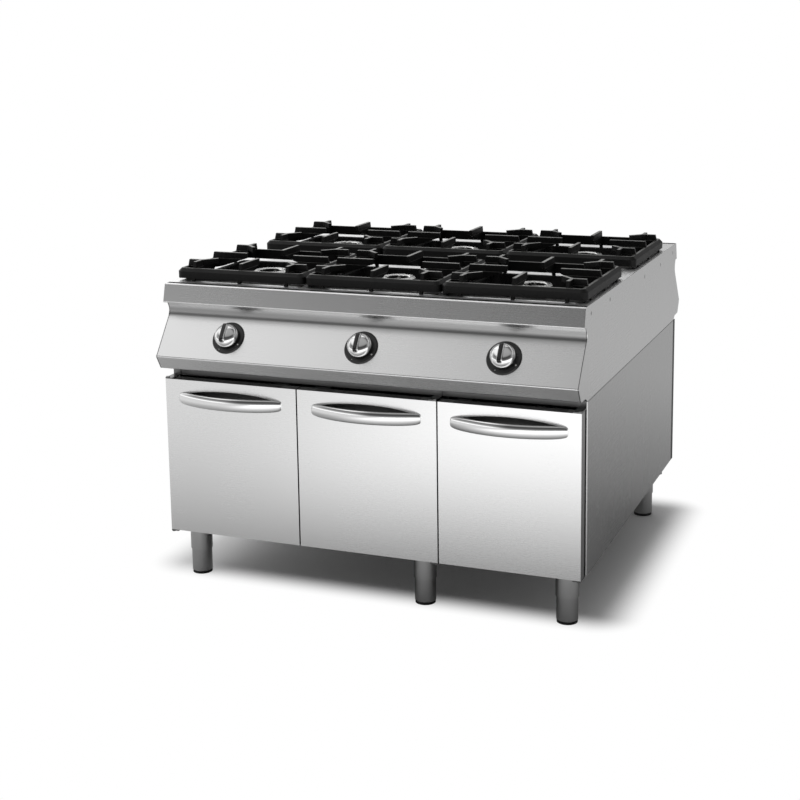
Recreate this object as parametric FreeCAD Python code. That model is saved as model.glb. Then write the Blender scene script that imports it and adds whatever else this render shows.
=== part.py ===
import FreeCAD, Part
import math
import os
from FreeCAD import Placement, Rotation, Vector

# Double-sided commercial gas range: six open burners on a cabinet with three doors.
# Millimetres. The front faces -Y, X runs to the right and Z is up. The origin is on the
# floor, at the centre of the cabinet's footprint.

X_AXIS = Vector(1, 0, 0)
Y_AXIS = Vector(0, 1, 0)
Z_AXIS = Vector(0, 0, 1)
ORIGIN = Vector(0, 0, 0)

# ---- Overall sizes ----
WIDTH = 1200.0
CABINET_DEPTH = 1090.0
LEG_HEIGHT = 139.5
CABINET_HEIGHT = 463.5
UNIT_HEIGHT = 247.0
SHEET = 1.5
BEND = 3.0

# ---- Worktop ----
WORKTOP_SHEET = 2.0
WORKTOP_OVERHANG = 26.0
FASCIA_HEIGHT = 52.5
FASCIA_LEAN = 13.5
HEM_WIDTH = 20.5
EDGE_RADIUS = 5.0
GROOVE_WIDTH = 12.0
GROOVE_DEPTH = 1.2
GROOVE_FROM_EDGE = 7.5

# ---- Control panel, measured out from the cabinet's face and down from the worktop ----
NECK_REACH = 4.5
NECK_DROP = 80.0
NECK_RADIUS = 30.0
LIP_REACH = 90.0
LIP_DROP = 195.0
LIP_RADIUS = 5.0
LIP_FOOT_REACH = 67.0
LIP_FOOT_DROP = 233.0
LIP_FOOT_RADIUS = 9.0
UNDERSIDE_REACH = 22.0
UNDERSIDE_DROP = 234.5
PANEL_TOP_FLANGE = 24.0
PANEL_FOOT_FLANGE = 25.0

# ---- Burner cells ----
CELLS_SIDE_MARGIN = 9.0
FRONT_ROW_INSET = 219.0
REAR_ROW_INSET = 323.0
WELL_SPACING = 54.0
WELL_CORNER = 30.0
WELL_DEPTH = 45.0
WELL_SHEET = 1.2
WELL_FLANGE = 12.0
WELL_FIT = 1.0
WELL_FLOOR_RADIUS = 8.0

# ---- Burners ----
POT_RADIUS = 34.0
POT_WALL = 5.0
POT_FLANGE_RADIUS = 46.0
POT_FLANGE_THICK = 3.0
POT_TOP_DROP = 4.0
MIXING_TUBE_RADIUS = 17.0
MIXING_TUBE_BORE = 12.0
MIXING_TUBE_LENGTH = 54.0
CROWN_RADIUS = 50.0
CROWN_HEIGHT = 12.0
CROWN_RIM_WIDTH = 15.0
CROWN_CHAMFER = 3.0
CROWN_FLOOR = 4.0
SPIGOT_DEPTH = 8.0
SPIGOT_CLEARANCE = 0.5
SPIGOT_WALL = 5.0
FLAME_PORTS = 24
FLAME_PORT_WIDTH = 2.5
FLAME_PORT_HEIGHT = 5.0
FLAME_PORT_DEPTH = 6.0
SENSOR_RADIUS = 3.0
SENSOR_COLLAR_RADIUS = 6.0
SENSOR_COLLAR_HEIGHT = 3.0
SENSOR_GAP = 6.0
SENSOR_TAIL = 24.0
HOLE_FIT = 0.5

# ---- Pan supports ----
SUPPORT_SPACING = 3.0
SUPPORT_DEPTH = 396.0
SUPPORT_CORNER = 18.0
RAIL_WIDTH = 15.0
RAIL_HEIGHT = 28.0
RAIL_BEVEL = 9.0
LUG_HEIGHT = 8.0
LUG_LENGTH = 12.0
FINGER_THICK = 9.0
FINGER_RISE = 18.0
FINGER_SPREAD = 143.0
FINGER_TIP_REACH = 74.5
FINGER_INSET = 14.0
FINGER_UNDERCUT = 26.0
FINGER_TIP_DEPTH = 15.0
FOOT_INSET = 1.0
CORNER_STUB = 47.0

# ---- Knobs and valves, measured along the panel's normal from its face ----
KNOB_ABOVE_LIP = 70.8
BEZEL_RADIUS = 47.0
BEZEL_THICK = 4.0
BEZEL_CHAMFER = 2.5
KNOB_RADIUS = 34.0
KNOB_TOP_RADIUS = 31.0
KNOB_GAP = 4.0
KNOB_HEIGHT = 24.0
KNOB_EDGE = 4.0
KNOB_WALL = 3.0
KNOB_HUB_RADIUS = 9.0
GRIP_WIDTH = 13.0
GRIP_HEIGHT = 13.0
GRIP_LENGTH = 56.0
SPINDLE_RADIUS = 4.0
SPINDLE_FIT = 0.08
SPINDLE_END_GAP = 0.5
SPINDLE_TAIL = 38.0
SPINDLE_TRAVEL = 3.0
PANEL_HOLE_RADIUS = 7.0
VALVE_NOSE_RADIUS = 11.0
VALVE_NOSE_LENGTH = 18.5
VALVE_RADIUS = 17.0
VALVE_LENGTH = 42.0
OUTLET_RADIUS = 7.0
OUTLET_FROM_TAIL = 12.0
OUTLET_REACH = 26.0

# ---- Gas pipes ----
MANIFOLD_RADIUS = 13.5
MANIFOLD_BORE = 8.0
MANIFOLD_STANDOFF = 20.0
MANIFOLD_OVERRUN = 40.0
MANIFOLD_BOSS_RADIUS = 12.0
END_CAP = 3.0
LINK_INSET = 100.0
INLET_INSET = 35.0
INLET_FROM_BACK = 75.0
INLET_DROP = 28.0
INLET_THREAD_RADIUS = 9.3
INLET_THREAD_DEPTH = 18.0
INLET_HEX = 38.0
INLET_NUT_HEIGHT = 22.0
PIPE_RADIUS = 5.0
PIPE_BORE = 3.8
PIPE_BEND = 14.0
PIPE_START = 22.0
INJECTOR_RADIUS = 8.0
INJECTOR_HEIGHT = 10.0
INJECTOR_NOZZLE = 4.0
INJECTOR_AIR_GAP = 5.0

# ---- Cabinet ----
SIDE_FLANGE = 20.0
BASE_FLANGE = 25.0
RAIL_DEPTH = 40.0
RAIL_FACE = 19.0
CEILING_LAP = 14.5
PARTITION_X = 211.0
PARTITION_FLANGE = 20.0
SPACER_DEPTH = 23.5
SPACER_WIDTH = 24.0

# ---- Doors ----
DOOR_THICK = 33.5
DOOR_STANDOFF = 15.5
DOOR_SHEET = 1.2
DOOR_RISE = 3.5
DOOR_DROP = 19.5
DOOR_SIDE_INSET = 3.0
DOOR_GAP = 4.0
DOUBLE_DOOR_SPLIT_X = -193.0
LINER_DEPTH = 14.0
RECESS_HALF_WIDTH = 150.0
RECESS_HALF_HEIGHT = 27.0
RECESS_DEPTH = 15.0
HANDLE_DROP = 51.0
HANDLE_WIDTH = 316.0
HANDLE_HEIGHT = 36.0
HANDLE_STANDOFF = 42.0
HANDLE_THICK = 7.0
HANDLE_EDGE = 2.0

# ---- Hinges and catches ----
PIN_RADIUS = 3.0
PIN_INSET = 5.0
PIN_FIT = 0.08
PIN_HEAD_RADIUS = 5.5
PIN_HEAD_HEIGHT = 2.0
PIN_REACH = 12.0
PIN_SEAT_FIT = 0.05
BRACKET_THICK = 3.0
BRACKET_WIDTH = 22.0
BRACKET_LEG = 18.0
BRACKET_GAP = 0.5
CATCH_WIDTH = 40.0
CATCH_HEIGHT = 32.0
CATCH_FROM_EDGE = 60.0
CATCH_CLEARANCE = 0.3
CATCH_SEAT = 20.0

# ---- Legs ----
LEG_INSET = 57.0
MIDDLE_LEG_X = 146.0
FRONT_LEG_INSET = 24.0
REAR_LEG_INSET = 153.0
SLEEVE_RADIUS = 31.0
SLEEVE_WALL = 1.8
SLEEVE_LENGTH = 64.0
LEG_PLATE = 44.0
LEG_PLATE_THICK = 3.0
LEG_NUT_RADIUS = 20.0
LEG_NUT_HEIGHT = 32.0
FOOT_CLEARANCE = 0.4
FOOT_STOP_GAP = 0.3
FOOT_SCREW_RADIUS = 10.0
FOOT_SCREW_FIT = 0.08
FOOT_SCREW_LENGTH = 30.0
FOOT_TUBE_WALL = 3.0
PAD_HEIGHT = 8.0
PAD_INSET = 1.0

# ---- Heights and planes that follow from the sizes above ----
CABINET_TOP = LEG_HEIGHT + CABINET_HEIGHT
WORKTOP_Z = CABINET_TOP + UNIT_HEIGHT
HALF_WIDTH = WIDTH / 2
INNER_HALF_WIDTH = HALF_WIDTH - SHEET
FACE_Y = CABINET_DEPTH / 2
WORKTOP_EDGE_Y = FACE_Y + WORKTOP_OVERHANG
FASCIA_FOOT_Y = WORKTOP_EDGE_Y + FASCIA_LEAN
HEM_Y = FASCIA_FOOT_Y - HEM_WIDTH
FASCIA_FOOT_Z = WORKTOP_Z - FASCIA_HEIGHT
LIP_Y = FACE_Y + LIP_REACH
LIP_Z = WORKTOP_Z - LIP_DROP
NECK_Y = FACE_Y + NECK_REACH
NECK_Z = WORKTOP_Z - NECK_DROP
WELL_FLOOR_Z = WORKTOP_Z - WELL_DEPTH
POT_TOP_Z = WORKTOP_Z - POT_TOP_DROP
TUBE_END_Z = WELL_FLOOR_Z - MIXING_TUBE_LENGTH
BASE_TOP_Z = LEG_HEIGHT + SHEET
DOOR_BOTTOM_Z = LEG_HEIGHT + DOOR_RISE
DOOR_TOP_Z = CABINET_TOP - DOOR_DROP
DOOR_BACK_Y = -(FACE_Y + DOOR_STANDOFF)
DOOR_FACE_Y = DOOR_BACK_Y - DOOR_THICK
PANEL_TILT = math.degrees(math.atan2(LIP_DROP - NECK_DROP, LIP_REACH - NECK_REACH))
KNOB_Y = LIP_Y - KNOB_ABOVE_LIP * math.cos(math.radians(PANEL_TILT))
KNOB_Z = LIP_Z + KNOB_ABOVE_LIP * math.sin(math.radians(PANEL_TILT))

CELL_PITCH = (WIDTH - 2 * CELLS_SIDE_MARGIN) / 3
WELL_SIZE = CELL_PITCH - WELL_SPACING
SUPPORT_WIDTH = CELL_PITCH - SUPPORT_SPACING
FINGER_LENGTH = SUPPORT_WIDTH / 2 - FINGER_TIP_REACH
FRONT_ROW_Y = FRONT_ROW_INSET - FACE_Y
REAR_ROW_Y = FACE_Y - REAR_ROW_INSET
LINK_X = HALF_WIDTH - LINK_INSET
INLET_X = HALF_WIDTH - INLET_INSET
INLET_Y = FACE_Y - INLET_FROM_BACK
LEG_X = (LEG_INSET - HALF_WIDTH, MIDDLE_LEG_X, HALF_WIDTH - LEG_INSET)
FRONT_LEG_Y = FRONT_LEG_INSET - FACE_Y
REAR_LEG_Y = FACE_Y - REAR_LEG_INSET

COLUMNS = {"left": -CELL_PITCH, "middle": 0.0, "right": CELL_PITCH}
ROWS = {"front": FRONT_ROW_Y, "rear": REAR_ROW_Y}
CELLS = [
    (row, column, COLUMNS[column], ROWS[row]) for row in ROWS for column in COLUMNS
]


# ---- Sheet and solid helpers ----

def save(shape, node):
    """Write one node's STEP file."""
    shape.exportStep("parts/" + node + ".step")
    print(node, len(shape.Solids), shape.isValid(), round(shape.Volume))


def turned(shape):
    """A copy turned half a turn about Z: front to rear and left to right."""
    copy = shape.copy()
    copy.rotate(ORIGIN, Z_AXIS, 180)
    return copy


def moved(shape, x, y, z=0.0):
    """A copy moved by x, y and z."""
    copy = shape.copy()
    copy.translate(Vector(x, y, z))
    return copy


def block(low, high):
    """A box between two corners."""
    size = Vector(*high) - Vector(*low)
    return Part.makeBox(size.x, size.y, size.z, Vector(*low))


def upright(radius, x, y, low, high):
    """A vertical cylinder between two heights."""
    return Part.makeCylinder(radius, high - low, Vector(x, y, low))


def rounded_path(points, radii):
    """Edges from point to point, each inner corner turned by a tangent arc of its radius."""
    edges = []
    here = points[0]
    for before, corner, after, radius in zip(points, points[1:], points[2:], radii):
        if radius > 0:
            arriving = (corner - before).normalize()
            leaving = (after - corner).normalize()
            half_turn = arriving.getAngle(leaving) / 2
            run = radius * math.tan(half_turn)
            sag = radius * (1 / math.cos(half_turn) - 1)
            start = corner - arriving * run
            end = corner + leaving * run
            middle = corner + (leaving - arriving).normalize() * sag
            edges.append(Part.LineSegment(here, start).toShape())
            edges.append(Part.Arc(start, middle, end).toShape())
            here = end
        else:
            edges.append(Part.LineSegment(here, corner).toShape())
            here = corner
    edges.append(Part.LineSegment(here, points[-1]).toShape())
    return edges


def filled(edges):
    """The flat face that a closed run of edges bounds."""
    return Part.Face(Part.Wire(Part.sortEdges(edges)[0]))


def folded_sheet(points, radii, thickness, along, length):
    """A sheet folded along a path and drawn out along its fold lines.

    The points lie on its outer face, and its thickness is to the right of travel,
    seen against the direction it is drawn out in.
    """
    steps = [(b - a).normalize() for a, b in zip(points, points[1:])]
    rights = [step.cross(along) for step in steps]
    inner = [points[0] + rights[0] * thickness]
    inner_radii = []
    for i, corner in enumerate(points[1:-1]):
        share = thickness / (1 + rights[i].dot(rights[i + 1]))
        inner.append(corner + (rights[i] + rights[i + 1]) * share)
        inward = steps[i + 1].dot(rights[i]) > 0
        inner_radii.append(radii[i] - thickness if inward else radii[i] + thickness)
    inner.append(points[-1] + rights[-1] * thickness)
    edges = rounded_path(points, radii) + rounded_path(inner, inner_radii)
    edges.append(Part.LineSegment(points[0], inner[0]).toShape())
    edges.append(Part.LineSegment(points[-1], inner[-1]).toShape())
    return filled(edges).extrude(along * length)


def rounded_slab(width, depth, corner, low, high):
    """A vertical prism with a rounded rectangular outline, centred on the Z axis."""
    x = width / 2
    y = depth / 2
    corners = [Vector(x, -y, low), Vector(x, y, low), Vector(-x, y, low), Vector(-x, -y, low)]
    start = Vector(0, -y, low)
    edges = rounded_path([start] + corners + [start], [corner] * len(corners))
    return filled(edges).extrude(Z_AXIS * (high - low))


def turned_profile(profile):
    """A solid of revolution about Z from a closed list of (radius, height) corners."""
    points = [Vector(r, 0, z) for r, z in profile]
    wire = Part.makePolygon(points + points[:1])
    return Part.Face(wire).revolve(ORIGIN, Z_AXIS, 360)


def disc(radius, middle, normal):
    """A flat round face."""
    return Part.Face(Part.Wire(Part.makeCircle(radius, middle, normal)))


def round_pipe(points, bend, radius, bore):
    """A pipe along straight runs joined by tangent arcs."""
    path = Part.Wire(rounded_path(points, [bend] * (len(points) - 2)))
    normal = points[1] - points[0]
    ring = disc(radius, points[0], normal).cut(disc(bore, points[0], normal))
    return path.makePipe(ring.Faces[0])


def at_cells(shape):
    """A copy of the shape in each burner cell."""
    return [moved(shape, x, y) for row, column, x, y in CELLS]


# ---- Top unit ----

def worktop():
    """Pressed sheet with both fascias folded down, open over each burner well."""
    path = [
        Vector(0, -HEM_Y, FASCIA_FOOT_Z),
        Vector(0, -FASCIA_FOOT_Y, FASCIA_FOOT_Z),
        Vector(0, -WORKTOP_EDGE_Y, WORKTOP_Z),
        Vector(0, WORKTOP_EDGE_Y, WORKTOP_Z),
        Vector(0, FASCIA_FOOT_Y, FASCIA_FOOT_Z),
        Vector(0, HEM_Y, FASCIA_FOOT_Z),
    ]
    radii = [BEND, EDGE_RADIUS, EDGE_RADIUS, BEND]
    sheet = folded_sheet(path, radii, WORKTOP_SHEET, X_AXIS, 2 * INNER_HALF_WIDTH)
    sheet.translate(Vector(-INNER_HALF_WIDTH, 0, 0))
    opening = rounded_slab(
        WELL_SIZE, WELL_SIZE, WELL_CORNER, WORKTOP_Z - 2 * WORKTOP_SHEET, WORKTOP_Z + 1
    )
    groove_y = WORKTOP_EDGE_Y - GROOVE_FROM_EDGE
    groove = block(
        (-HALF_WIDTH, groove_y - GROOVE_WIDTH, WORKTOP_Z - GROOVE_DEPTH),
        (HALF_WIDTH, groove_y, WORKTOP_Z + 1),
    )
    return sheet.cut(at_cells(opening) + [groove, turned(groove)])


def drip_well():
    """Enamelled well hung under one opening of the worktop, holed for burner and sensor."""
    under = WORKTOP_Z - WORKTOP_SHEET
    outer = WELL_SIZE - 2 * WELL_FIT
    inner = outer - 2 * WELL_SHEET
    corner = WELL_CORNER - WELL_FIT
    flange_size = WELL_SIZE + 2 * WELL_FLANGE
    flange = rounded_slab(
        flange_size, flange_size, WELL_CORNER + WELL_FLANGE, under - WELL_SHEET, under
    )
    floor_z = WELL_FLOOR_Z - WELL_SHEET
    shell = rounded_slab(outer, outer, corner, floor_z, under)
    hollow = rounded_slab(inner, inner, corner - WELL_SHEET, WELL_FLOOR_Z, under + 1)
    hollow = soften_floor(hollow, WELL_FLOOR_Z, WELL_FLOOR_RADIUS)
    shell = soften_floor(shell, floor_z, WELL_FLOOR_RADIUS + WELL_SHEET)
    burner_hole = upright(MIXING_TUBE_RADIUS + HOLE_FIT, 0, 0, floor_z - 1, WORKTOP_Z)
    sensor_hole = upright(SENSOR_RADIUS + HOLE_FIT, sensor_x(), 0, floor_z - 1, WORKTOP_Z)
    return flange.fuse(shell).cut([hollow, burner_hole, sensor_hole])


def soften_floor(solid, floor_z, radius):
    """The solid with the edges around its floor rounded."""
    edges = [
        edge for edge in solid.Edges
        if abs(edge.BoundBox.ZMax - floor_z) < 0.01
    ]
    return solid.makeFillet(radius, edges)


def panel_outline():
    """Corners (out from the middle, height) from the hem down to the cabinet seam."""
    return [
        (HEM_Y, FASCIA_FOOT_Z),
        (NECK_Y, NECK_Z),
        (LIP_Y, LIP_Z),
        (FACE_Y + LIP_FOOT_REACH, WORKTOP_Z - LIP_FOOT_DROP),
        (FACE_Y + UNDERSIDE_REACH, WORKTOP_Z - UNDERSIDE_DROP),
        (FACE_Y, CABINET_TOP),
    ]


def on_panel(shape, x):
    """A shape drawn on the XY plane, stood on the front control panel at x."""
    copy = shape.copy()
    tilt = Rotation(X_AXIS, PANEL_TILT)
    copy.Placement = Placement(Vector(x, -KNOB_Y, KNOB_Z), tilt).multiply(copy.Placement)
    return copy


def on_side(shape, row, x):
    """A shape drawn on the XY plane, stood on the front or the rear panel at x."""
    if row == "front":
        return on_panel(shape, x)
    return turned(on_panel(shape, -x))


def control_panel():
    """Front panel: flange under the worktop, neck, sloping face, lip and foot flange."""
    under = WORKTOP_Z - WORKTOP_SHEET
    outline = [(HEM_Y - PANEL_TOP_FLANGE, under), (HEM_Y, under)]
    outline += panel_outline()
    outline.append((FACE_Y - PANEL_FOOT_FLANGE, CABINET_TOP))
    radii = [BEND, BEND, NECK_RADIUS, LIP_RADIUS, LIP_FOOT_RADIUS, BEND, BEND]
    path = [Vector(-INNER_HALF_WIDTH, y, z) for y, z in outline]
    sheet = folded_sheet(path, radii, SHEET, X_AXIS, 2 * INNER_HALF_WIDTH)
    hole = Part.makeCylinder(PANEL_HOLE_RADIUS, 4 * SHEET, Vector(0, 0, -2 * SHEET))
    return turned(sheet).cut([on_panel(hole, x) for x in COLUMNS.values()])


def unit_side_panel():
    """Left side panel, cut to the outline of worktop, fascia and control panels."""
    half = [
        (WORKTOP_EDGE_Y, WORKTOP_Z),
        (FASCIA_FOOT_Y, FASCIA_FOOT_Z),
    ] + panel_outline()
    radii = [EDGE_RADIUS, BEND, 0, NECK_RADIUS, LIP_RADIUS, LIP_FOOT_RADIUS, BEND, 0]
    rear = [Vector(-HALF_WIDTH, y, z) for y, z in half]
    front = [Vector(-HALF_WIDTH, -y, z) for y, z in reversed(half)]
    top = Vector(-HALF_WIDTH, 0, WORKTOP_Z)
    edges = rounded_path([top] + rear + front + [top], radii + radii[::-1])
    return filled(edges).extrude(X_AXIS * SHEET)


# ---- Burners ----

def sensor_x():
    """Distance from a burner's centre to its flame sensor."""
    return CROWN_RADIUS + SENSOR_GAP + SENSOR_RADIUS


def burner_body():
    """Cast pot standing on the well's floor, with the mixing tube below it."""
    floor = WELL_FLOOR_Z + POT_FLANGE_THICK
    return turned_profile([
        (MIXING_TUBE_BORE, TUBE_END_Z),
        (MIXING_TUBE_RADIUS, TUBE_END_Z),
        (MIXING_TUBE_RADIUS, WELL_FLOOR_Z),
        (POT_FLANGE_RADIUS, WELL_FLOOR_Z),
        (POT_FLANGE_RADIUS, floor),
        (POT_RADIUS, floor),
        (POT_RADIUS, POT_TOP_Z),
        (POT_RADIUS - POT_WALL, POT_TOP_Z),
        (POT_RADIUS - POT_WALL, floor + POT_WALL),
        (MIXING_TUBE_BORE, floor),
    ])


def burner_crown():
    """Lift-off crown: ported ring with a raised rim, and a spigot inside the pot."""
    spigot = POT_RADIUS - POT_WALL - SPIGOT_CLEARANCE
    top = POT_TOP_Z + CROWN_HEIGHT
    floor = POT_TOP_Z + CROWN_FLOOR
    rim = CROWN_RADIUS - CROWN_RIM_WIDTH
    crown = turned_profile([
        (spigot - SPIGOT_WALL, POT_TOP_Z - SPIGOT_DEPTH),
        (spigot, POT_TOP_Z - SPIGOT_DEPTH),
        (spigot, POT_TOP_Z),
        (CROWN_RADIUS, POT_TOP_Z),
        (CROWN_RADIUS, top - CROWN_CHAMFER),
        (CROWN_RADIUS - CROWN_CHAMFER, top),
        (rim, top),
        (rim - CROWN_CHAMFER, top - CROWN_CHAMFER),
        (rim - CROWN_CHAMFER, floor),
        (0, floor),
        (0, POT_TOP_Z),
        (spigot - SPIGOT_WALL, POT_TOP_Z),
    ])
    port = block(
        (CROWN_RADIUS - FLAME_PORT_DEPTH, -FLAME_PORT_WIDTH / 2, POT_TOP_Z + 1),
        (CROWN_RADIUS + 1, FLAME_PORT_WIDTH / 2, POT_TOP_Z + 1 + FLAME_PORT_HEIGHT),
    )
    ports = []
    for i in range(FLAME_PORTS):
        copy = port.copy()
        copy.rotate(ORIGIN, Z_AXIS, (i + 0.5) * 360 / FLAME_PORTS)
        ports.append(copy)
    return crown.cut(ports)


def flame_sensor():
    """Thermocouple rod beside the crown, with a collar on the well's floor."""
    rod = upright(SENSOR_RADIUS, sensor_x(), 0, WELL_FLOOR_Z - SENSOR_TAIL, WORKTOP_Z)
    collar = upright(
        SENSOR_COLLAR_RADIUS, sensor_x(), 0, WELL_FLOOR_Z, WELL_FLOOR_Z + SENSOR_COLLAR_HEIGHT
    )
    return rod.fuse(collar)


def injector():
    """Brass injector below the mixing tube, with its nozzle up."""
    seat = injector_seat_z()
    body = upright(INJECTOR_RADIUS, 0, 0, seat, seat + INJECTOR_HEIGHT)
    nozzle = Part.makeCone(
        INJECTOR_NOZZLE, INJECTOR_NOZZLE / 2, INJECTOR_NOZZLE, Vector(0, 0, seat + INJECTOR_HEIGHT)
    )
    return body.fuse(nozzle)


def injector_seat_z():
    """Height of the face that the injector stands on."""
    return TUBE_END_Z - INJECTOR_AIR_GAP - INJECTOR_NOZZLE - INJECTOR_HEIGHT


# ---- Pan supports ----

def pan_support():
    """Cast-iron grid: bevelled rails, three fingers a side, joined by stubs at the corners."""
    low = WORKTOP_Z + LUG_HEIGHT
    high = low + RAIL_HEIGHT
    frame = rounded_slab(SUPPORT_WIDTH, SUPPORT_DEPTH, SUPPORT_CORNER, low, high)
    top_edges = [edge for edge in frame.Edges if abs(edge.BoundBox.ZMin - high) < 0.01]
    frame = frame.makeChamfer(RAIL_BEVEL, top_edges)
    hole = rounded_slab(
        SUPPORT_WIDTH - 2 * RAIL_WIDTH,
        SUPPORT_DEPTH - 2 * RAIL_WIDTH,
        SUPPORT_CORNER - RAIL_WIDTH,
        low - 1,
        high + 1,
    )
    frame = frame.cut(hole)
    plates = [corner_stub(sx, sy) for sx in (-1, 1) for sy in (-1, 1)]
    for quarter in range(4):
        half = (SUPPORT_DEPTH if quarter % 2 == 0 else SUPPORT_WIDTH) / 2
        for offset in (-FINGER_SPREAD, 0, FINGER_SPREAD):
            length = FINGER_LENGTH if offset == 0 else half - FINGER_SPREAD
            plate = finger(length)
            plate.translate(Vector(offset, -half, 0))
            plate.rotate(ORIGIN, Z_AXIS, 90 * quarter)
            plates.append(plate)
    return frame.fuse(plates).removeSplitter()


def finger(length):
    """One upright plate from the outer face of the rail at y = 0, inwards along +Y."""
    low = WORKTOP_Z + LUG_HEIGHT
    high = low + RAIL_HEIGHT
    top = high + FINGER_RISE
    corners = [
        (FOOT_INSET, WORKTOP_Z),
        (FOOT_INSET, high - RAIL_BEVEL),
        (FOOT_INSET + RAIL_BEVEL, high),
        (FINGER_INSET, top),
        (length, top),
        (length, top - FINGER_TIP_DEPTH),
        (RAIL_WIDTH + FINGER_UNDERCUT, low + FINGER_TIP_DEPTH / 3),
        (LUG_LENGTH, low),
        (LUG_LENGTH - LUG_HEIGHT / 2, WORKTOP_Z),
    ]
    points = [Vector(-FINGER_THICK / 2, y, z) for y, z in corners]
    return Part.Face(Part.makePolygon(points + points[:1])).extrude(X_AXIS * FINGER_THICK)


def corner_stub(side_x, side_y):
    """Diagonal plate from where two corner fingers meet, towards the burner."""
    top = WORKTOP_Z + LUG_HEIGHT + RAIL_HEIGHT + FINGER_RISE
    low = top - FINGER_TIP_DEPTH
    half = FINGER_THICK / 2
    stub = block((-half, -half, low), (CORNER_STUB, half, top))
    knuckle = upright(half * math.sqrt(2), 0, 0, low, top)
    stub = stub.fuse(knuckle)
    angle = math.degrees(math.atan2(-side_y, -side_x))
    stub.rotate(ORIGIN, Z_AXIS, angle)
    return moved(stub, side_x * FINGER_SPREAD, side_y * FINGER_SPREAD)


# ---- Knobs, valves and gas pipes ----

def knob_bezel():
    """Black dial disc that lies on the panel."""
    disc = Part.makeCylinder(BEZEL_RADIUS, BEZEL_THICK)
    top_edge = [edge for edge in disc.Edges if abs(edge.BoundBox.ZMin - BEZEL_THICK) < 0.01]
    disc = disc.makeChamfer(BEZEL_CHAMFER, top_edge)
    return disc.cut(Part.makeCylinder(PANEL_HOLE_RADIUS, BEZEL_THICK))


def knob():
    """Hollow cap on a hub, with a grip rib across its face."""
    low = BEZEL_THICK + KNOB_GAP
    top = low + KNOB_HEIGHT
    cap = turned_profile([
        (KNOB_RADIUS, low),
        (KNOB_RADIUS, low + KNOB_WALL),
        (KNOB_TOP_RADIUS, top - KNOB_EDGE),
        (KNOB_TOP_RADIUS - KNOB_EDGE, top),
        (0, top),
        (0, top - KNOB_WALL),
        (KNOB_TOP_RADIUS - KNOB_EDGE, top - KNOB_WALL),
        (KNOB_TOP_RADIUS - KNOB_WALL, top - KNOB_EDGE),
        (KNOB_RADIUS - KNOB_WALL, low),
    ])
    hub = Part.makeCylinder(KNOB_HUB_RADIUS, KNOB_HEIGHT - KNOB_WALL, Vector(0, 0, low))
    grip = rounded_slab(GRIP_WIDTH, GRIP_LENGTH, GRIP_WIDTH / 3, top, top + GRIP_HEIGHT)
    bore = Part.makeCylinder(
        SPINDLE_RADIUS + SPINDLE_FIT, KNOB_HEIGHT - KNOB_WALL, Vector(0, 0, low)
    )
    return cap.fuse([hub, grip]).removeSplitter().cut(bore)


def spindle():
    """Valve spindle from the valve's bore up into the knob's hub."""
    top = BEZEL_THICK + KNOB_GAP + KNOB_HEIGHT - KNOB_WALL - SPINDLE_END_GAP
    return Part.makeCylinder(SPINDLE_RADIUS, top + SPINDLE_TAIL, Vector(0, 0, -SPINDLE_TAIL))


def valve_tail():
    """Depth of the valve's tail face behind the panel's outer face."""
    return SHEET + VALVE_NOSE_LENGTH + VALVE_LENGTH


def gas_valve():
    """Brass valve behind the panel: nose, body, outlet boss and the spindle's bore."""
    tail = valve_tail()
    nose_foot = Vector(0, 0, -SHEET - VALVE_NOSE_LENGTH)
    nose = Part.makeCylinder(VALVE_NOSE_RADIUS, VALVE_NOSE_LENGTH, nose_foot)
    body = Part.makeCylinder(VALVE_RADIUS, VALVE_LENGTH, Vector(0, 0, -tail))
    outlet = Part.makeCylinder(
        OUTLET_RADIUS, OUTLET_REACH, Vector(0, 0, -tail + OUTLET_FROM_TAIL), Y_AXIS
    )
    depth = SPINDLE_TAIL + SPINDLE_TRAVEL + SPINDLE_END_GAP
    bore = Part.makeCylinder(SPINDLE_RADIUS + SPINDLE_FIT, depth, Vector(0, 0, -depth))
    return body.fuse([nose, outlet]).cut(bore)


def panel_point(local):
    """Where a point in a front knob's own frame lies, as (distance along Y, height)."""
    vertex = on_panel(Part.Vertex(local), 0).Point
    return vertex.y, vertex.z


def supply_pipe(row, row_y):
    """Pipe from a valve's outlet to the injector under its burner, at x = 0."""
    outlet = Vector(0, OUTLET_REACH, -valve_tail() + OUTLET_FROM_TAIL)
    start_y, start_z = panel_point(outlet)
    bend_y, bend_z = panel_point(outlet + Y_AXIS * PIPE_START)
    burner_y = row_y if row == "front" else -row_y
    points = [
        Vector(0, start_y, start_z),
        Vector(0, bend_y, bend_z),
        Vector(0, burner_y, bend_z),
        Vector(0, burner_y, injector_seat_z()),
    ]
    pipe = round_pipe(points, PIPE_BEND, PIPE_RADIUS, PIPE_BORE)
    return pipe if row == "front" else turned(pipe)


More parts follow.
